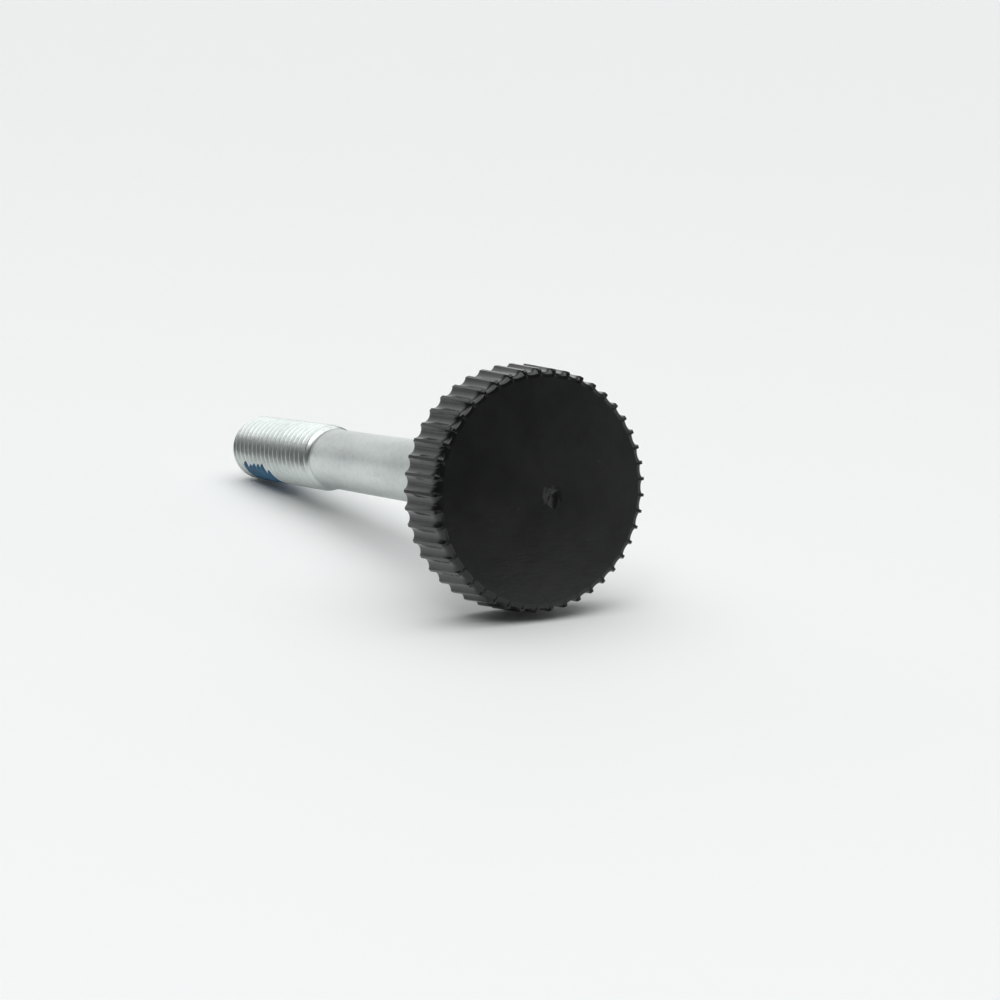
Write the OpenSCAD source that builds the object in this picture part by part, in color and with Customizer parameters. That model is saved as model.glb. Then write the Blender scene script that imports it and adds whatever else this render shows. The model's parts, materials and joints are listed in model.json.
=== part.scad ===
// Thumb bolt for a trampoline frame: a steel bolt with a reduced shank and a threaded end,
// a fluted plastic head moulded round its hex head, and a nylon locking patch on the thread.
// Millimetres. The bolt lies as it comes to rest, on two ribs of its head and on its tip.

/* [Plastic head] */
// Diameter over the ribs at the front face
head_d = 25; // [23:0.5:32]
// Thickness of the plastic head
head_t = 6.2; // [5.8:0.1:9]
// Moulding draft of the ribs round the edge, in degrees
head_draft = 3.3; // [2.6:0.1:4]
// Rounding of the ribs at the front rim
rim_r = 0.35; // [0.2:0.05:0.6]
// Rounding of the back rim
back_rim_r = 0.3; // [0.2:0.05:0.5]

/* [Flutes] */
// Number of flutes round the edge
flute_count = 45; // [36:1:50]
// Depth of a flute below the ribs, where it is shallowest
flute_depth = 0.38; // [0.25:0.01:0.45]
// Draft of the floors of the flutes, in degrees
flute_draft = 2.4; // [1:0.1:2.6]
// Width of the narrow rib left between two flutes
rib_w = 0.34; // [0.2:0.02:0.6]
// Distance behind the front face where a flute is shallowest and its floor turns in
flute_lead = 0.85; // [0.6:0.05:0.85]
// Radius at which the floor turns over the front rim
flute_turn_r = 1; // [0.9:0.05:1.5]

/* [Moulded underside] */
// Wall of plastic round the corners of the hex pocket
hub_wall = 1.5; // [1:0.1:2]
// Wall of plastic behind the flutes
rim_wall = 1.5; // [1:0.1:1.8]
// Depth of the channel between the hub and the rim
channel_depth = 3.6; // [2:0.1:4]
// Number of webs across the channel
web_count = 6; // [3:1:12]
// Thickness of each web
web_t = 1.1; // [0.8:0.1:2]
// Gap between the plastic and the flats of the hex head
pocket_gap = 0.03; // [0.01:0.01:0.1]

/* [Gate mark] */
// Width of the shallow mark left by the moulding gate
gate_d = 2.4; // [1:0.1:4]
// Depth of the gate mark
gate_depth = 0.12; // [0.05:0.01:0.3]
// Distance of the gate mark to the right of the middle
gate_side = 1.1; // [-3:0.1:3]
// Distance of the gate mark below the middle
gate_drop = 0.6; // [-3:0.1:3]

/* [Steel bolt] */
// Width across the flats of the hex head
hex_af = 13; // [12:0.5:13]
// Height of the hex head with its washer face
hex_h = 5.3; // [4:0.1:5.4]
// Diameter of the round washer face under the hex head
washer_face_d = 11.6; // [10.5:0.1:11.8]
// Height of the washer face
washer_face_h = 0.3; // [0.2:0.05:0.5]
// Length of the bolt under its head
bolt_l = 65; // [50:1:110]
// Diameter of the plain shank
shank_d = 7.1; // [6.6:0.05:7.7]
// Radius of the fillet where the shank meets the head
neck_r = 0.5; // [0.2:0.05:1]

/* [Threaded end] */
// Diameter over the thread
thread_d = 8; // [8:0.05:9]
// Length of the threaded end
thread_l = 22; // [16:1:35]
// Length over which the shank grows to the thread
runout_l = 1.2; // [0.8:0.1:2.5]
// Length of the chamfer at the tip
tip_chamfer = 1; // [0.6:0.1:1.4]
// Diameter of the flat end of the tip
tip_d = 6.2; // [5:0.1:6.6]

/* [Locking patch] */
// Length of the patch along the thread
patch_l = 9.5; // [6:0.5:12]
// Distance from the tip to the patch
patch_start = 2; // [1.5:0.5:4]
// Depth of the patch into the thread, level with the crests
patch_depth = 0.3; // [0.2:0.05:0.4]
// Length of the sloping edge at each end of the patch
patch_slope = 0.7; // [0.4:0.1:1]
// Angle that the patch covers round the thread
patch_wrap = 140; // [90:5:180]
// Turn of the middle of the patch away from the lowest line, towards the left
patch_turn = 5; // [-40:5:40]

/* [Hidden] */
$fn = 96;
through = 1;
rim_steps = 2;
neck_steps = 4;

head_r = head_d / 2;
flute_pitch = 360 / flute_count;
lowest = 90;

// The edge of the head is a straight line at the draft angle, rounded at both rims.
rim_centre = head_r - rim_r * tan(45 - head_draft / 2);
back_centre = head_r + ((head_t - back_rim_r) * sin(head_draft) - back_rim_r) / cos(head_draft);
back_r = head_r + head_t * tan(head_draft);

// A flute is a straight round groove that turns over the front rim and runs out on the face.
flute_w = PI * head_d / flute_count - rib_w;
flute_r = flute_w * flute_w / (8 * flute_depth) + flute_depth / 2;
flute_floor_r = head_r + flute_lead * tan(head_draft) - flute_depth / cos(head_draft);
turn_centre = flute_floor_r - flute_turn_r * cos(flute_draft);
turn_centre_z = flute_lead + flute_turn_r * sin(flute_draft);
turn_axis_r = flute_turn_r + flute_r;

hub_r = hex_af / 2 / cos(30) + hub_wall;
channel_r = head_r - flute_depth - rim_wall;

hex_top = head_t - hex_h;
bolt_end = head_t + bolt_l;
thread_start = bolt_end - thread_l;
shank_r = shank_d / 2;
thread_r = thread_d / 2;
tip_shoulder = bolt_end - tip_chamfer;

patch_near = bolt_end - patch_start - patch_l;
patch_far = bolt_end - patch_start;

gate_sphere_r = gate_d * gate_d / (8 * gate_depth) + gate_depth / 2;

// The lowest flute straddles the floor, so the head stands on the ribs on both sides of it.
flute_axis_r = flute_floor_r + (head_t - flute_lead) * tan(flute_draft) + flute_r;
rib_angle = acos((back_r ^ 2 + flute_axis_r ^ 2 - flute_r ^ 2) / (2 * back_r * flute_axis_r));
rest_rise = back_centre * cos(rib_angle) - thread_r;
rest_run = tip_shoulder - head_t + back_rim_r;
rest_tilt = atan2(rest_rise, rest_run) + asin(back_rim_r / norm([rest_rise, rest_run]));
rest_height = tip_shoulder * sin(rest_tilt) + thread_r * cos(rest_tilt);
front_reach = rim_r * cos(rest_tilt) - rim_centre * sin(rest_tilt) - rim_r;
back_reach = bolt_end * cos(rest_tilt) + tip_d / 2 * sin(rest_tilt);

// Half-section of the patch, carried on past the thread by a margin where it cuts its own seat
function patch_section(margin) = concat(
    [[thread_r - patch_depth, patch_near + patch_slope], [thread_r, patch_near]],
    margin > 0 ? [[thread_r + margin, patch_near], [thread_r + margin, patch_far]] : [],
    [[thread_r, patch_far], [thread_r - patch_depth, patch_far - patch_slope]]);

function arc(cx, cy, r, from, to, steps) =
    [for (i = [0:steps]) let (a = from + (to - from) * i / steps)
        [cx + r * cos(a), cy + r * sin(a)]];

// From the bolt's own axis, with its face at zero and its tip up, to the way that it lies
module at_rest() {
    translate([0, -(front_reach + back_reach) / 2, rest_height])
        rotate([-(90 + rest_tilt), 0, 0])
            children();
}

module head_blank() {
    rotate_extrude()
        polygon(concat(
            [[0, head_t], [0, 0]],
            arc(rim_centre, rim_r, rim_r, -90, -head_draft, rim_steps),
            arc(back_centre, head_t - back_rim_r, back_rim_r, -head_draft, 90, rim_steps)));
}

module flute() {
    translate([turn_centre, 0, turn_centre_z]) {
        rotate([90, 0, 0])
            rotate([0, 0, -90])
                rotate_extrude(angle = 90 - flute_draft)
                    translate([turn_axis_r, 0])
                        circle(r = flute_r);
        rotate([0, flute_draft, 0])
            translate([turn_axis_r, 0, 0])
                cylinder(h = head_t + through, r = flute_r);
    }
}

module hex_prism(af, h) {
    cylinder(h = h, r = af / 2 / cos(30), $fn = 6);
}

module cored_channel() {
    difference() {
        translate([0, 0, head_t - channel_depth])
            cylinder(h = channel_depth + through, r = channel_r);
        translate([0, 0, head_t - channel_depth - through])
            cylinder(h = channel_depth + 3 * through, r = hub_r);
        for (i = [1:web_count])
            rotate([0, 0, i * 360 / web_count])
                translate([0, -web_t / 2, 0])
                    cube([head_r, web_t, head_t + 2 * through]);
    }
}

module gate_mark() {
    translate([gate_side, gate_drop, gate_depth - gate_sphere_r])
        sphere(r = gate_sphere_r);
}

module knurled_head() {
    color([0.13, 0.135, 0.13])
        at_rest()
            difference() {
                head_blank();
                for (i = [1:flute_count])
                    rotate([0, 0, lowest + i * flute_pitch])
                        flute();
                translate([0, 0, hex_top])
                    hex_prism(hex_af + 2 * pocket_gap, hex_h + through);
                cored_channel();
                gate_mark();
            }
}

module hex_head() {
    corner_r = hex_af / 2 / cos(30);
    chamfer_r = 0.475 * hex_af;
    chamfer_h = (corner_r - chamfer_r) * tan(30);
    body_h = hex_h - washer_face_h;
    intersection() {
        hex_prism(hex_af, body_h);
        rotate_extrude()
            polygon([
                [0, 0],
                [chamfer_r, 0],
                [corner_r + through, chamfer_h + through * tan(30)],
                [corner_r + through, body_h],
                [0, body_h]]);
    }
}

module turned_blank() {
    face_z = head_t - washer_face_h;
    rotate_extrude()
        polygon(concat(
            [[0, bolt_end], [0, face_z - through], [washer_face_d / 2 - through, face_z - through]],
            [[washer_face_d / 2, face_z], [washer_face_d / 2, head_t]],
            arc(shank_r + neck_r, head_t + neck_r, neck_r, 270, 180, neck_steps),
            [[shank_r, thread_start - runout_l], [thread_r, thread_start]],
            [[thread_r, tip_shoulder], [tip_d / 2, bolt_end]]));
}

module patch_band(margin) {
    rotate([0, 0, lowest + patch_turn - patch_wrap / 2])
        rotate_extrude(angle = patch_wrap)
            polygon(patch_section(margin));
}

module bolt() {
    color([0.76, 0.79, 0.78])
        at_rest() {
            translate([0, 0, hex_top])
                hex_head();
            difference() {
                turned_blank();
                patch_band(through);
            }
        }
}

module thread_patch() {
    color([0.1, 0.3, 0.52])
        at_rest()
            patch_band(0);
}

knurled_head();
bolt();
thread_patch();
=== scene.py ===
import json
import math

import bmesh
import bpy
import numpy as np
from mathutils import Matrix, Vector, geometry, noise


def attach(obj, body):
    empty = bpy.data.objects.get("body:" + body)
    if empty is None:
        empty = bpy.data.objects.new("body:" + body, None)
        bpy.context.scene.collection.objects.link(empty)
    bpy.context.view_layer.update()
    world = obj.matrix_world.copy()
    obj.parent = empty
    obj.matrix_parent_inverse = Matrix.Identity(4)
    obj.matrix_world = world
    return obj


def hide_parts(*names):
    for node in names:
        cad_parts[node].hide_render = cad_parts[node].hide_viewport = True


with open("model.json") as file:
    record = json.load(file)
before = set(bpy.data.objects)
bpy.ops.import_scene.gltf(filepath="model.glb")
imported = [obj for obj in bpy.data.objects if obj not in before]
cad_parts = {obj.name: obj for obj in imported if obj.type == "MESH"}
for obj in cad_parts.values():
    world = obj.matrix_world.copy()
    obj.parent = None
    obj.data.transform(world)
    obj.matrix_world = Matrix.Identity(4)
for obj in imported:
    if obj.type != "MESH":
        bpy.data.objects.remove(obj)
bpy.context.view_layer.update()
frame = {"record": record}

# ---------------------------------------------------------------------------
# Steel bolt. Cold-headed from one length of steel wire: a hex head with a washer
# face, a plain reduced shank, and an M8 thread rolled on at the far end.
# The whole is zinc plated. The plastic head is moulded round its hex afterwards.
# ---------------------------------------------------------------------------
MM = 0.001
HEAD_T = 6.2
HEX_AF = 13.0
HEX_H = 5.3
HEX_HALF_SIDE = math.radians(30)
HEX_CHAMFER = math.radians(30)
HEX_CHAMFER_R = 0.475 * HEX_AF
HEX_EDGE = 0.12
WASHER_D = 11.6
WASHER_H = 0.3
SHANK_R = 3.55
NECK_R = 0.5
NECK_STEPS = 6
BOLT_L = 65.0
BOLT_SIDES = 96
TIP_CHAMFER = 1.0
TIP_R = 3.1
THREAD_R = 4.0
THREAD_L = 22.0
RUNOUT_BEFORE, RUNOUT_AFTER = 1.6, 1.0
PITCH = 1.25
CREST_HALF = PITCH / 16
ROOT_R = THREAD_R - 0.6134 * PITCH
FLANK_SLOPE = math.tan(math.radians(60))
CREST_ROUND, ROOT_ROUND, TIP_ROUND = 0.06, 0.16, 0.05

# Rounded edges: how far in from the rim each row lies, and how far back from the end
WASHER_EDGE = [(0, 0.08), (0.03, 0.025), (0.09, 0)]
TIP_DISH = [(0, 0), (0.12, 0.01), (0.3, 0.05), (1.24, 0.16), (2.325, 0.2)]

hex_top = HEAD_T - HEX_H
bolt_end = HEAD_T + BOLT_L
tip_shoulder = bolt_end - TIP_CHAMFER
thread_start = bolt_end - THREAD_L
runout_start = thread_start - RUNOUT_BEFORE
runout_end = thread_start + RUNOUT_AFTER

# The threaded end's mount says where the bolt's own axis lies, from its face to its tip.
shaft = next(m for m in frame["record"]["mounts"] if m["name"] == "threaded_end")
along = Vector(shaft["axis"])
rightward = Vector((1, 0, 0))
downward = along.cross(rightward)
face_centre = Vector(shaft["pos_m"]) - along * (tip_shoulder - shaft["dims"]["length_mm"] / 2) * MM
lying = Matrix((rightward, downward, along)).transposed().to_4x4()
lying.translation = face_centre


def soft_least(a, b, width):
    """The smaller of two lengths, with their corner rounded over a width."""
    near = np.maximum(width - np.abs(a - b), 0) / width
    return np.minimum(a, b) - near * near * width / 4


def soft_most(a, b, width):
    """The larger of two lengths, with their corner rounded over a width."""
    return -soft_least(-a, -b, width)


def ease(x, start, end):
    """0 before the start, 1 after the end, and eased between them."""
    t = np.clip((x - start) / (end - start), 0, 1)
    return t * t * (3 - 2 * t)


class Skin:
    """The surface of one piece as it is laid up, in millimetres in the bolt's own frame."""

    def __init__(self):
        self.points, self.faces = [], []

    def loop(self, x, y, z):
        first = len(self.points)
        self.points.extend(zip(*(np.broadcast_to(v, np.shape(x)).tolist() for v in (x, y, z))))
        return list(range(first, len(self.points)))

    def turned(self, angles, radius, z):
        radius = np.broadcast_to(radius, angles.shape)
        return self.loop(radius * np.cos(angles), radius * np.sin(angles), z)

    def bridge(self, a, b, closed=True):
        n = len(a)
        for i in range(n if closed else n - 1):
            j = (i + 1) % n
            self.faces.append((a[i], a[j], b[j], b[i]))

    def stack(self, loops, closed=True):
        for a, b in zip(loops, loops[1:]):
            self.bridge(a, b, closed)

    def fan(self, loop, x, y, z):
        middle = len(self.points)
        self.points.append((x, y, z))
        for i, a in enumerate(loop):
            self.faces.append((a, loop[(i + 1) % len(loop)], middle))

    def plate(self, loops, loose=()):
        """Fills the flat space between an outline and its holes, through any loose points."""
        used = [i for loop in loops for i in loop] + list(loose)
        flat = np.array([self.points[i][:2] for i in used])
        edges, start = [], 0
        for loop in loops:
            n = len(loop)
            edges += [(start + i, start + (i + 1) % n) for i in range(n)]
            start += n
        made = geometry.delaunay_2d_cdt([Vector(p) for p in flat], edges, [], 0, 1e-5)
        faces, origin = made[2], made[3]
        corners = flat[np.array([[origin[i][0] for i in f] for f in faces])]
        middle = corners.mean(axis=1)
        a = flat[[e[0] for e in edges]]
        b = flat[[e[1] for e in edges]]
        inside = np.zeros(len(middle), bool)
        for (ax, ay), (bx, by) in zip(a, b):
            if ay == by:
                continue
            crosses = (ay > middle[:, 1]) != (by > middle[:, 1])
            edge_x = (bx - ax) * (middle[:, 1] - ay) / (by - ay) + ax
            inside ^= crosses & (middle[:, 0] < edge_x)
        for face, keep in zip(faces, inside):
            if keep:
                self.faces.append(tuple(used[origin[i][0]] for i in face))

    def piece(self, name, crease=40):
        weld, sliver = 0.0004, 0.0002
        mesh = bpy.data.meshes.new(name)
        mesh.from_pydata([lying @ (Vector(p) * MM) for p in self.points], [], self.faces)
        work = bmesh.new()
        work.from_mesh(mesh)
        bmesh.ops.remove_doubles(work, verts=work.verts, dist=weld * MM)
        bmesh.ops.dissolve_degenerate(work, edges=work.edges, dist=sliver * MM)
        loose = [v for v in work.verts if not v.link_faces]
        bmesh.ops.delete(work, geom=loose, context="VERTS")
        bmesh.ops.recalc_face_normals(work, faces=work.faces)
        work.to_mesh(mesh)
        work.free()
        mesh.shade_smooth()
        mesh.set_sharp_from_angle(angle=math.radians(crease))
        made = bpy.data.objects.new(name, mesh)
        bpy.context.scene.collection.objects.link(made)
        return made


# A crest of the right-hand thread passes just behind the tip's lowest point.
CREST_BEHIND = 0.08
crest_ref = tip_shoulder - CREST_BEHIND - PITCH / 4


def thread_radius(angle, z):
    """The rolled thread: flat crests with soft corners, round roots, a run-out into the shank."""
    turn = (z - crest_ref) / PITCH - angle / (2 * math.pi)
    off = np.abs(turn - np.round(turn)) * PITCH
    flank = THREAD_R + (CREST_HALF - off) * FLANK_SLOPE
    full = soft_most(soft_least(flank, THREAD_R, CREST_ROUND), ROOT_R, ROOT_ROUND)
    grown = ease(z, runout_start, runout_end)
    threaded = SHANK_R + (full - SHANK_R) * grown
    chamfer = TIP_R + (THREAD_R - TIP_R) * (bolt_end - z) / TIP_CHAMFER
    return soft_least(threaded, chamfer, TIP_ROUND)


def bolt_skin():
    skin = Skin()
    turn = np.arange(BOLT_SIDES) / BOLT_SIDES * 2 * math.pi
    hexagon = HEX_AF / 2 / np.cos(turn % (2 * HEX_HALF_SIDE) - HEX_HALF_SIDE)
    chamfer_z = hex_top + (hexagon - HEX_CHAMFER_R) * math.tan(HEX_CHAMFER)
    hex_under = HEAD_T - WASHER_H
    washer_r = WASHER_D / 2
    neck_centre_r, neck_centre_z = SHANK_R + NECK_R, HEAD_T + NECK_R
    profile = [(HEX_CHAMFER_R * 0.6, hex_top), (HEX_CHAMFER_R, hex_top), (hexagon, chamfer_z)]
    for inward, back in [(0, 1), (0.3, 0.3), (1, 0)]:
        profile.append((hexagon - HEX_EDGE * inward, hex_under - HEX_EDGE * back))
    profile.append((washer_r, hex_under))
    for inward, back in WASHER_EDGE:
        profile.append((washer_r - inward, HEAD_T - back))
    for step in range(NECK_STEPS + 1):
        a = math.radians(270 - 90 * step / NECK_STEPS)
        profile.append((neck_centre_r + NECK_R * math.cos(a), neck_centre_z + NECK_R * math.sin(a)))
    for z in np.linspace(neck_centre_z, runout_start, 14)[1:]:
        profile.append((SHANK_R, z))
    loops = [skin.turned(turn, r, z) for r, z in profile]
    skin.fan(loops[0], 0, 0, hex_top)
    skin.stack(loops)

    # The rows of the thread follow its helix, and stop at the run-out and at the end. Each
    # turn has a row at these shares of its pitch, from one crest to the next.
    stations = [0, .03, .06, .10, .16, .22, .28, .34, .40, .45, .5,
                .55, .60, .66, .72, .78, .84, .90, .94, .97]
    around = np.arange(BOLT_SIDES + 1) / BOLT_SIDES * 2 * math.pi
    turns_before = math.ceil((crest_ref - runout_start) / PITCH) + 1
    rows = []
    for k in range(-turns_before, 3):
        for s in stations:
            helix = crest_ref + (k + s + around / (2 * math.pi)) * PITCH
            z = np.clip(helix, runout_start, bolt_end)
            rows.append(skin.turned(around, thread_radius(around, z), z))
    skin.stack(rows, closed=False)
    end = [skin.turned(turn, TIP_R - inward, bolt_end - back) for inward, back in TIP_DISH]
    skin.stack(end)
    skin.fan(end[-1], 0, 0, bolt_end - TIP_DISH[-1][1])
    return skin


class Wire:
    """One output in a material's node tree. Arithmetic on wires adds Math nodes."""

    def __init__(self, tree, socket=None):
        self.tree, self.socket = tree, socket

    def node(self, kind, settings=(), values=(), out=0):
        """Adds a node, makes its settings, then gives its sockets values or wires."""
        made = self.tree.nodes.new("ShaderNode" + kind)
        for key, value in dict(settings).items():
            setattr(made, key, value)
        for key, value in dict(values).items():
            if isinstance(value, Wire):
                self.tree.links.new(value.socket, made.inputs[key])
            else:
                made.inputs[key].default_value = value
        return Wire(self.tree, made.outputs[out] if made.outputs else None)

    def maths(self, operation, a, b=0.0):
        return self.node("Math", {"operation": operation}, {0: a, 1: b})

    def __add__(self, other):
        return self.maths("ADD", self, other)

    def __sub__(self, other):
        return self.maths("SUBTRACT", self, other)

    def __rsub__(self, other):
        return self.maths("SUBTRACT", other, self)

    def __mul__(self, other):
        return self.maths("MULTIPLY", self, other)

    __radd__, __rmul__ = __add__, __mul__

    def span(self, low, high):
        """0 below low, 1 above high, and eased between them."""
        return self.node("MapRange", {"interpolation_type": "SMOOTHSTEP"},
                         {0: self, 1: low, 2: high})

    def colour(self, base, top):
        """Mixes two colours, with this wire as the share of the second. The first may be a wire."""
        sides = {0: self, 6: base if isinstance(base, Wire) else (*base, 1), 7: (*top, 1)}
        return self.node("Mix", {"data_type": "RGBA"}, sides, out=2)


def empty_tree(owner):
    """The node tree of a material or a room, emptied, as a wire."""
    owner.use_nodes = True
    owner.node_tree.nodes.clear()
    return Wire(owner.node_tree)


def bolt_finish(name):
    """An empty material, its node tree, and places on the bolt in its own frame's millimetres."""
    finish = bpy.data.materials.new(name)
    tree = empty_tree(finish)
    back = lying.inverted()
    aligned = {"Vector": tree.node("TexCoord", out="Object"), "Location": back.translation / MM,
               "Rotation": back.to_euler(), "Scale": [1 / MM] * 3}
    return finish, tree, tree.node("Mapping", {"vector_type": "POINT"}, aligned)


def grain(tree, place, size, detail=3, stretch=(1, 1, 1), rough=0.5):
    """Noise with lumps about one size across, in millimetres, drawn out along an axis if asked."""
    scale = [s / size for s in stretch]
    scaled = tree.node("Mapping", {"vector_type": "POINT"}, {"Vector": place, "Scale": scale})
    return tree.node("TexNoise", {}, {"Vector": scaled, "Scale": 1, "Detail": detail,
                                      "Roughness": rough})


def raised(tree, height, depth_mm, under=None):
    """Turns a height from 0 to 1 into a bump of a real depth."""
    values = {"Height": height, "Distance": depth_mm * MM, "Strength": 1}
    if under:
        values["Normal"] = under
    return tree.node("Bump", {}, values)


def coat_piece(piece, finish, tree, sockets):
    """Gives a piece its finish, whose shader takes these values and wires."""
    shader = tree.node("BsdfPrincipled", {}, sockets)
    tree.node("OutputMaterial", {}, {"Surface": shader})
    piece.data.materials.clear()
    piece.data.materials.append(finish)


def zinc_plate():
    finish, tree, place = bolt_finish("zinc_plate")
    cloud = grain(tree, place, 5.0, detail=4, stretch=(1, 1, 0.4))
    spots = grain(tree, place, 0.7, detail=5, rough=0.6)
    drawn = grain(tree, place, 0.22, detail=2, stretch=(1, 1, 0.04))
    tone = cloud.span(0.35, 0.7) * 0.6 + spots.span(0.4, 0.7) * 0.4
    pale = tone.colour((0.64, 0.68, 0.665), (0.53, 0.57, 0.56))
    stained = grain(tree, place, 1.6, detail=6, stretch=(1, 1, 0.5), rough=0.65).span(0.62, 0.74)
    colour = (stained * 0.5).colour(pale, (0.42, 0.44, 0.41))
    rough = 0.30 + tone * 0.10 + stained * 0.12
    normal = raised(tree, drawn, 0.006, raised(tree, spots, 0.012))
    return finish, tree, {"Base Color": colour, "Metallic": 1.0, "Roughness": rough,
                          "Normal": normal}


bolt = bolt_skin().piece("bolt_steel")
coat_piece(bolt, *zinc_plate())
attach(bolt, "root")
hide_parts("bolt")

# ---------------------------------------------------------------------------
# Locking patch. Blue nylon powder, fused on one side of the hot thread, where it
# fills the grooves nearly level with the crests and feathers out at its edges.
# ---------------------------------------------------------------------------
PATCH_START = 2.0
PATCH_L = 9.5
PATCH_WRAP = 140
PATCH_TURN = 5
PATCH_ROWS, PATCH_COLUMNS = 150, 84
PATCH_SINK = 0.05
PATCH_PROUD = 0.035
GROOVE_SAG = 0.17
LUMPS = 0.03
EDGE_RAGGED, EDGE_CORNER, EDGE_MARGIN, EDGE_FEATHER = 0.9, 1.5, 0.45, 1.1
LOWEST = 90


def border(rows):
    """The points round the edge of a patch of rows."""
    right, left = [row[-1] for row in rows[1:-1]], [row[0] for row in rows[-2:0:-1]]
    return rows[0] + right + rows[-1][::-1] + left


def noise_round(angles, z, turn_rate, length_rate, seed):
    """Smooth noise from -1 to 1 along one row of the patch."""
    return np.array([noise.noise(Vector((a * turn_rate, z * length_rate, seed))) for a in angles])


def patch_skin():
    skin = Skin()
    first = math.radians(LOWEST + PATCH_TURN - PATCH_WRAP / 2)
    angle = first + np.linspace(0, math.radians(PATCH_WRAP), PATCH_COLUMNS)
    far = bolt_end - PATCH_START
    near = far - PATCH_L
    outer, inner = [], []
    for z in np.linspace(near, far, PATCH_ROWS):
        metal = thread_radius(angle, z)
        wobble = noise_round(angle, z, 2.2, 0.55, 3.0) * EDGE_RAGGED
        side = THREAD_R * np.minimum(angle - angle[0], angle[-1] - angle)
        ends = min(z - near, far - z)
        inset = soft_least(side, ends, EDGE_CORNER) + wobble - EDGE_MARGIN
        cover = ease(inset, 0.0, EDGE_FEATHER)
        lumps = noise_round(angle, z, 6, 1.4, 0.0) * LUMPS
        groove = (THREAD_R - metal) / (THREAD_R - ROOT_R)
        level = THREAD_R + PATCH_PROUD - GROOVE_SAG * groove + lumps
        r = metal + (level - metal) * cover - PATCH_SINK * 0.8 * (1 - cover)
        outer.append(skin.turned(angle, r, z))
        inner.append(skin.turned(angle, metal - PATCH_SINK, z))
    skin.stack(outer, closed=False)
    skin.stack(inner, closed=False)
    skin.bridge(border(outer), border(inner))
    return skin


def fused_nylon():
    finish, tree, place = bolt_finish("fused_nylon")
    powder = grain(tree, place, 0.12, detail=4)
    patchy = grain(tree, place, 1.2, detail=4).span(0.3, 0.7)
    colour = patchy.colour((0.018, 0.085, 0.17), (0.035, 0.15, 0.26))
    normal = raised(tree, powder, 0.02)
    return finish, tree, {"Base Color": colour, "Roughness": 0.45 + 0.2 * patchy,
                          "Normal": normal, "IOR": 1.53}


patch = patch_skin().piece("locking_patch", crease=60)
coat_piece(patch, *fused_nylon())
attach(patch, "root")
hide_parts("thread_patch")

# ---------------------------------------------------------------------------
# Plastic head. One thick disc of black nylon moulded round the hex: straight flutes
# that turn over the front rim, narrow ribs between them, a shallow gate mark on
# the face, and a cored channel with webs on the underside.
# ---------------------------------------------------------------------------
HEAD_R = 12.5
DRAFT = math.radians(3.3)
RIM_R = 0.35
BACK_RIB_ROUND, BACK_FLUTE_ROUND = 0.3, 0.13
FLUTES = 45
FLUTE_DEPTH = 0.38
FLUTE_DRAFT = math.radians(1.6)
RIB_W = 0.34
RIB_ROUND = 0.16

# Behind this depth a flute's floor leans out with its draft. In front of it the floor turns in
# towards the flat of the face, and the flute's hollow fades out between the two depths below.
FLUTE_LEAD, FLUTE_FLOOR_R = 1.1, 12.25
FLAT_R, TURN_POWER = 11.7, 2.2
HOLLOW_NONE, HOLLOW_FULL = -0.6, 1.3

CHANNEL_DEPTH = 3.6
RIM_WALL = 1.5
HUB_WALL = 1.5
WEBS = 6
WEB_T = 1.1
CELL_CORNER, CELL_EDGE, CELL_DRAW, CELL_ROOT = 0.35, 0.14, 0.04, 0.25
POCKET_GAP = 0.03
# How far each row lies outside the pocket's wall, and how deep
POCKET_EDGE = [(0.14, 0), (0.05, 0.04), (0, 0.14), (0, HEX_H)]
GATE_X, GATE_Y, GATE_R, GATE_DEPTH = 1.1, 0.6, 1.3, 0.055
GATE_TORN = 0.016

# The rows round the front rim are seen from this circle inside it, at these angles in degrees.
FACE_R, FRONT_Z = 11.3, 0.95
FRONT_ROWS = [-84, -78, -74, *range(-71, -35, 3), -34, -29, -23, -15, 0]
# No point of the edge is farther than this from where it is seen.
FARTHEST = 3.0

# Rings of points that keep the flat of the face evenly meshed: radius, and points round it
FACE_RINGS = [(11.0, 540), (10.6, 270), (10.4, 180), (9, 120), (7.4, 90), (5.6, 60), (3.9, 48)]

flute_w = 2 * math.pi * HEAD_R / FLUTES - RIB_W
flute_r = flute_w ** 2 / (8 * FLUTE_DEPTH) + FLUTE_DEPTH / 2
rim_centre = HEAD_R - RIM_R * math.tan(math.pi / 4 - DRAFT / 2)
half_pitch = math.pi / FLUTES

# From the middle of a flute to the middle of the rib beside it, closer at the rib's corner
across = np.array([0, .15, .3, .44, .56, .66, .73, .78, .82, .86, .92, 1]) * half_pitch
across = np.concatenate([-across[:0:-1], across[:-1]])
off_flute = np.tile(across, FLUTES)
rim_turn = (np.repeat(np.arange(FLUTES), len(across)) * 2 * half_pitch
            + off_flute + math.radians(LOWEST))


def below_floor(r, z):
    """True under the flutes: round grooves whose floor leans, and turns in near the face."""
    before = np.clip(1 - z / FLUTE_LEAD, 0, 1)
    turned_in = (FLUTE_FLOOR_R - FLAT_R) * (1 - (1 - before ** TURN_POWER) ** (1 / TURN_POWER))
    floor_r = FLUTE_FLOOR_R + np.maximum(z - FLUTE_LEAD, 0) * math.tan(FLUTE_DRAFT) - turned_in
    aside = np.abs(r * np.sin(off_flute))
    hollow = flute_r - np.sqrt(np.maximum(flute_r ** 2 - aside ** 2, 0))
    hollow_here = hollow * ease(z, HOLLOW_NONE, HOLLOW_FULL)
    return (aside > flute_w / 2) | (r * np.cos(off_flute) < floor_r + hollow_here)


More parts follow.
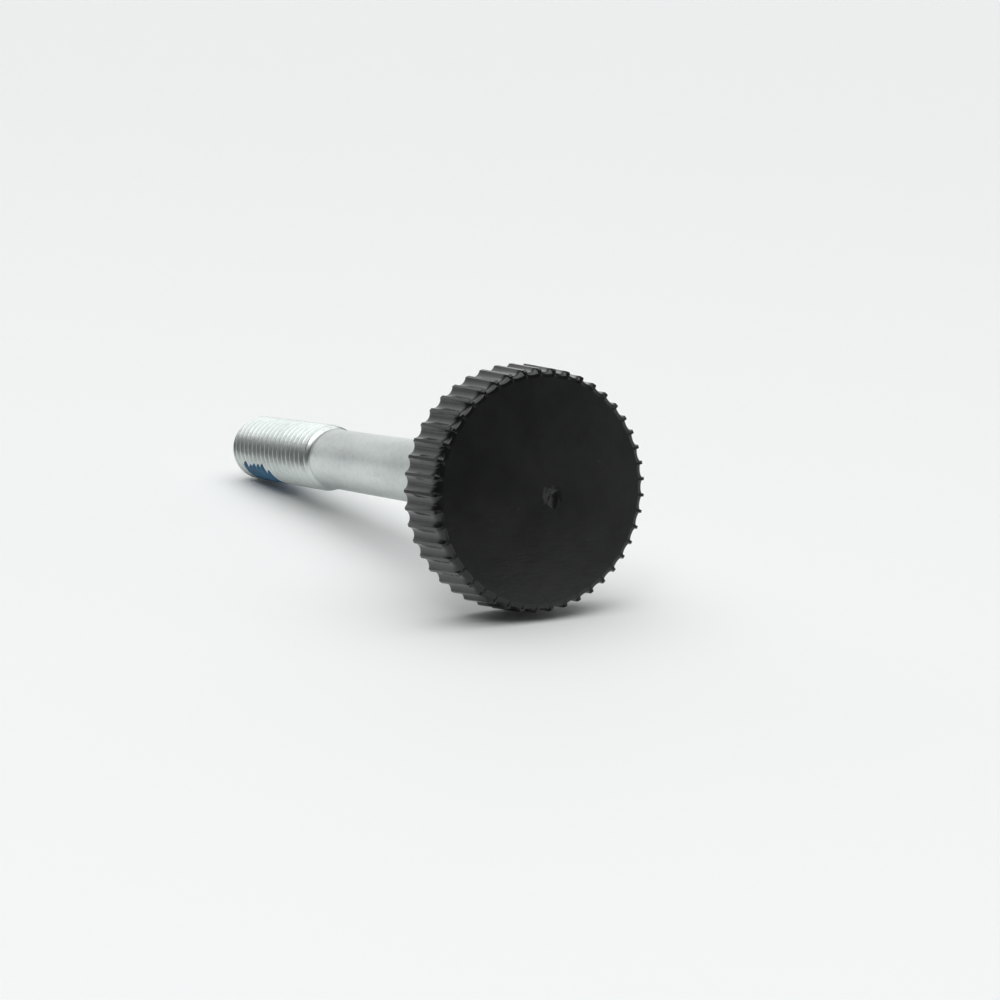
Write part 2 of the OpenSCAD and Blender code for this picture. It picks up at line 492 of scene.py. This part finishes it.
def inside_blank(r, z):
    """True inside the disc before it is fluted, with its rounded front rim."""
    out, up = r - rim_centre, z - RIM_R
    cornered = (out > 0) & (out * math.sin(DRAFT) + up * math.cos(DRAFT) < 0)
    within_rim = ~cornered | (np.hypot(out, up) < RIM_R)
    return (z > 0) & (r < HEAD_R + z * math.tan(DRAFT)) & within_rim


def reach(inside, r, z, phi):
    """How far the plastic goes from a point in it towards phi, on every line round the head."""
    low, high = np.zeros_like(off_flute), np.full_like(off_flute, FARTHEST)
    for _ in range(32):
        out = (low + high) / 2
        solid = inside(r + out * math.cos(phi), z + out * math.sin(phi))
        low, high = np.where(solid, out, low), np.where(solid, high, out)
    return low


def to_skin(r, z, phi=0.0):
    """How far it is from a point in the plastic to the fluted edge, towards phi."""
    return soft_least(reach(below_floor, r, z, phi), reach(inside_blank, r, z, phi), RIB_ROUND)


def fluted_row(skin, r, z, phi=0.0):
    """One row of the fluted edge, seen from a point inside it towards phi."""
    out = to_skin(r, z, phi)
    return skin.turned(rim_turn, r + out * math.cos(phi), z + out * math.sin(phi))


def cell_outline(inset, middle_angle):
    """The outline of one channel cell, between two webs, drawn in by an inset."""
    hub_r = HEX_AF / 2 / math.cos(HEX_HALF_SIDE) + HUB_WALL
    channel_r = HEAD_R - FLUTE_DEPTH - RIM_WALL
    mean_r, half_h = (channel_r + hub_r) / 2, (channel_r - hub_r) / 2
    half_l = mean_r * (math.pi / WEBS) - WEB_T / 2
    across_cell, along_cell = half_h - inset, half_l - inset
    corner = max(CELL_CORNER - inset, 0.05)
    u, v = [], []
    for side, (su, sv) in enumerate([(1, 1), (-1, 1), (-1, -1), (1, -1)]):
        for step in range(6):
            a = math.radians(90 * side + 90 * step / 5)
            u.append(su * (along_cell - corner) + corner * math.cos(a))
            v.append(sv * (across_cell - corner) + corner * math.sin(a))
        if side in (0, 2):
            for t in np.linspace(0, 1, 20)[1:-1]:
                u.append(su * (along_cell - corner) * (1 - 2 * t))
                v.append(sv * across_cell)
    u, v = np.array(u), np.array(v)
    r = mean_r + v
    angle = middle_angle + u / half_l * (math.pi / WEBS - np.arcsin(WEB_T / 2 / r))
    return r * np.cos(angle), r * np.sin(angle)


def gate_height(x, y):
    """The face near the gate: a shallow dish with an uneven floor, steepest at its lower edge."""
    ragged = 1.15 + 0.3 * noise.noise(Vector((x * 1.4, y * 1.4, 9.0)))
    from_gate = math.hypot(x - GATE_X, y - GATE_Y)
    out = from_gate * ragged
    lower = float(ease((y - GATE_Y) / max(from_gate, 0.01), 0.8, 0.95))
    dish = GATE_DEPTH * float(ease(-out, -GATE_R, -GATE_R * (0.1 + 0.65 * lower)))
    torn = noise.fractal(Vector((x * 2.0, y * 2.0, 5.0)), 1.0, 2.0, 3)
    return dish + GATE_TORN * torn * float(ease(-out, -GATE_R * 1.15, -GATE_R * 0.6))


def side_rows(skin):
    """The rows from the flat of the face, round the front rim, down the flutes, to the back."""
    rows = [skin.turned(rim_turn, FACE_R, 0.0)]
    for phi in FRONT_ROWS:
        rows.append(fluted_row(skin, FACE_R, FRONT_Z, math.radians(phi)))
    for z in np.linspace(FRONT_Z + 0.3, HEAD_T - 0.55, 7):
        rows.append(fluted_row(skin, FACE_R, z))
    edge = FACE_R + to_skin(FACE_R, HEAD_T)
    rib_share = (edge - edge.min()) / (edge.max() - edge.min())
    rounding = BACK_FLUTE_ROUND + (BACK_RIB_ROUND - BACK_FLUTE_ROUND) * rib_share
    for psi in np.linspace(0, math.pi / 2, 7):
        back = rounding * (1 - math.sin(psi))
        r = edge - rounding * (1 - math.cos(psi)) - back * DRAFT
        rows.append(skin.turned(rim_turn, r, HEAD_T - back))
    return rows


def gated_face(skin, outline):
    """The flat of the face, with the mark that the gate left."""
    points = []
    for r, count in FACE_RINGS:
        points += skin.turned(np.arange(count) / count * 2 * math.pi, r, 0.0)
    for r in np.arange(0, GATE_R * 1.35, 0.075):
        for turn in np.arange(60 if r else 1) / 60 * 2 * math.pi:
            x, y = GATE_X + r * math.cos(turn), GATE_Y + r * math.sin(turn)
            points += skin.loop(np.array([x]), np.array([y]), gate_height(x, y))
    skin.plate([outline], points)


def channel_cell(skin, middle_angle):
    """One cell of the channel, rounded at its edge and at its floor. Gives the cell's edge."""
    floor_z = HEAD_T - CHANNEL_DEPTH
    rows = []
    for a in np.linspace(0, math.pi / 2, 5):
        outline = cell_outline(-CELL_EDGE * (1 - math.sin(a)), middle_angle)
        rows.append(skin.loop(*outline, HEAD_T - CELL_EDGE * (1 - math.cos(a))))
    for a in np.linspace(0, math.pi / 2, 5):
        outline = cell_outline(CELL_DRAW + CELL_ROOT * (1 - math.cos(a)), middle_angle)
        rows.append(skin.loop(*outline, floor_z + CELL_ROOT * (1 - math.sin(a))))
    skin.stack(rows)
    skin.plate([rows[-1]])
    return rows[0]


def underside(skin, outline):
    """The back face, with the cells of the channel and the pocket round the bolt's hex head."""
    holes = [channel_cell(skin, (web + 0.5) * 2 * math.pi / WEBS) for web in range(WEBS)]
    corners = np.arange(6) * math.pi / 3
    pocket_r = (HEX_AF / 2 + POCKET_GAP) / math.cos(HEX_HALF_SIDE)
    pocket = [skin.turned(corners, pocket_r + grow, HEAD_T - deep) for grow, deep in POCKET_EDGE]
    skin.stack(pocket)
    skin.plate([pocket[-1]])
    skin.plate([outline, *holes, pocket[0]])


def head_skin():
    skin = Skin()
    rows = side_rows(skin)
    skin.stack(rows)
    gated_face(skin, rows[0])
    underside(skin, rows[-1])
    return skin


def moulded_black():
    finish, tree, place = bolt_finish("moulded_black")
    flow = grain(tree, place, 6.0, detail=4)
    skin_grain = grain(tree, place, 0.16, detail=3)
    ripple = grain(tree, place, 1.5, detail=3)
    dust = grain(tree, place, 0.35, detail=1).span(0.76, 0.80) * flow.span(0.4, 0.6)
    shade = flow.span(0.3, 0.7)
    body = shade.colour((0.0032, 0.0036, 0.0034), (0.0050, 0.0053, 0.0051))
    colour = (dust * 0.6).colour(body, (0.06, 0.06, 0.058))
    rough = 0.18 + shade * 0.05 + dust * 0.2
    normal = raised(tree, skin_grain, 0.004, raised(tree, ripple, 0.010))
    return finish, tree, {"Base Color": colour, "Roughness": rough, "Normal": normal, "IOR": 1.5}


head = head_skin().piece("fluted_head", crease=50)
coat_piece(head, *moulded_black())
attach(head, "root")
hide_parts("knurled_head")

# ---------------------------------------------------------------------------
# Floor, light and camera. A pale table without a far edge stands in a bright room that
# is dim on the camera's side, under a soft light from the front left.
# ---------------------------------------------------------------------------
FLOOR_COLOUR = (0.872, 0.882, 0.880)
FLOOR_FRONT, FLOOR_REACH = -0.16, 40.0
# The colour and edges of the dark patch painted on the floor for glossy rays only, a painted dark
# reflection on the head.
PAINTED_REFLECTION_COLOUR = (0.05, 0.05, 0.05)
PAINTED_REFLECTION_RIGHT_EDGE, PAINTED_REFLECTION_FAR_EDGE = (-0.044, -0.054), (0.060, 0.035)
ROOM_DIM, BACKDROP, OVERHEAD, SIDE_CARD = 0.08, 0.95, 1.72, 0.9
ROOM_TINT = (0.99, 1.0, 1.0)
SIDE_CARD_AIM = (0.82, -0.57, 0)
LAMP_AT = Vector((-0.35, -0.35, 0.55))
LAMP_SIDE, LAMP_WATTS = 0.22, 0.5
CAMERA_AT = Vector((-0.1189985, -0.2292116, 0.0651112))
FOCAL_PX, IMAGE_PX = 2293.8, 1000
SENSOR_MM = 36
YAW, PITCH_DOWN, ROLL = (math.radians(a) for a in (30.369, 13.023, -2.714))

floor_mesh = bpy.data.meshes.new("floor")
floor_mesh.from_pydata([(-FLOOR_REACH, FLOOR_FRONT, 0), (FLOOR_REACH, FLOOR_FRONT, 0),
                        (FLOOR_REACH, FLOOR_REACH, 0), (-FLOOR_REACH, FLOOR_REACH, 0)],
                       [], [(0, 1, 2, 3)])
floor = bpy.data.objects.new("floor", floor_mesh)
bpy.context.scene.collection.objects.link(floor)

# A dark patch is painted on the floor left of the head for glossy rays only: it paints a dark
# reflection into the head's front rim, and the camera sees the plain floor there.
floor_finish = bpy.data.materials.new("pale_floor")
floor_tree = empty_tree(floor_finish)
spot = floor_tree.node("TexCoord", out="Object")
spot_x = floor_tree.node("SeparateXYZ", {}, {0: spot}, out="X")
spot_y = floor_tree.node("SeparateXYZ", {}, {0: spot}, out="Y")
mirrored = floor_tree.node("LightPath", out="Is Glossy Ray")
# Painted dark reflection: the floor turns dark only for glossy rays, in this corner left of the
# head.
painted_reflection_mask = spot_x.span(*PAINTED_REFLECTION_RIGHT_EDGE) * spot_y.span(*PAINTED_REFLECTION_FAR_EDGE) * mirrored
coat_piece(floor, floor_finish, floor_tree,
           {"Base Color": painted_reflection_mask.colour(FLOOR_COLOUR, PAINTED_REFLECTION_COLOUR), "Roughness": 0.7,
            "Specular IOR Level": 0.2})

# The room is dim, with a bright wall behind the bolt, a bright ceiling and a card at the right.
# The camera itself sees the floor's colour all round.
world = bpy.data.worlds.new("room")
bpy.context.scene.world = world
room = empty_tree(world)
heading = room.node("TexCoord", out="Generated")


def towards(aim):
    """How nearly a ray heads the way that it is aimed, from -1 to 1."""
    return room.node("VectorMath", {"operation": "DOT_PRODUCT"}, {0: heading, 1: aim}, out="Value")


facing = towards(Vector((CAMERA_AT.x, CAMERA_AT.y, 0)).normalized())
height = room.node("SeparateXYZ", {}, {0: heading}, out="Z")
backdrop = (1 - height.span(0.35, 0.62)) * (1 - facing.span(-0.85, -0.2)) * BACKDROP
overhead = height.span(0.6, 0.85) * OVERHEAD
side_card = towards(SIDE_CARD_AIM).span(0.90, 0.97) * SIDE_CARD
lit = room.node("Background", {}, {"Color": (*ROOM_TINT, 1),
                                   "Strength": ROOM_DIM + backdrop + overhead + side_card})
seen = room.node("Background", {}, {"Color": (*FLOOR_COLOUR, 1), "Strength": 1.0})
camera_ray = room.node("LightPath", out="Is Camera Ray")
surface = room.node("MixShader", {}, {0: camera_ray, 1: lit, 2: seen})
room.node("OutputWorld", {}, {"Surface": surface})

soft_light = bpy.data.lights.new("soft_light", "AREA")
soft_light.shape = "SQUARE"
soft_light.size = LAMP_SIDE
soft_light.energy = LAMP_WATTS
lamp = bpy.data.objects.new("soft_light", soft_light)
lamp.location = LAMP_AT
lamp.rotation_euler = (-LAMP_AT).to_track_quat("-Z", "Y").to_euler()
bpy.context.scene.collection.objects.link(lamp)

ahead = math.cos(PITCH_DOWN)
looking = Vector((math.sin(YAW) * ahead, math.cos(YAW) * ahead, -math.sin(PITCH_DOWN)))
level = Vector((math.cos(YAW), -math.sin(YAW), 0))
sideways = level * math.cos(ROLL) + looking.cross(level) * math.sin(ROLL)
upward = -looking.cross(sideways)
view = bpy.data.cameras.new("view")
view.sensor_width = SENSOR_MM
view.lens = FOCAL_PX / IMAGE_PX * SENSOR_MM
view.clip_start, view.clip_end = 0.01, 200
camera = bpy.data.objects.new("view", view)
camera.matrix_world = Matrix((sideways, upward, -looking)).transposed().to_4x4()
camera.matrix_world.translation = CAMERA_AT
bpy.context.scene.collection.objects.link(camera)
bpy.context.scene.camera = camera

bpy.context.scene.view_settings.view_transform = "Standard"
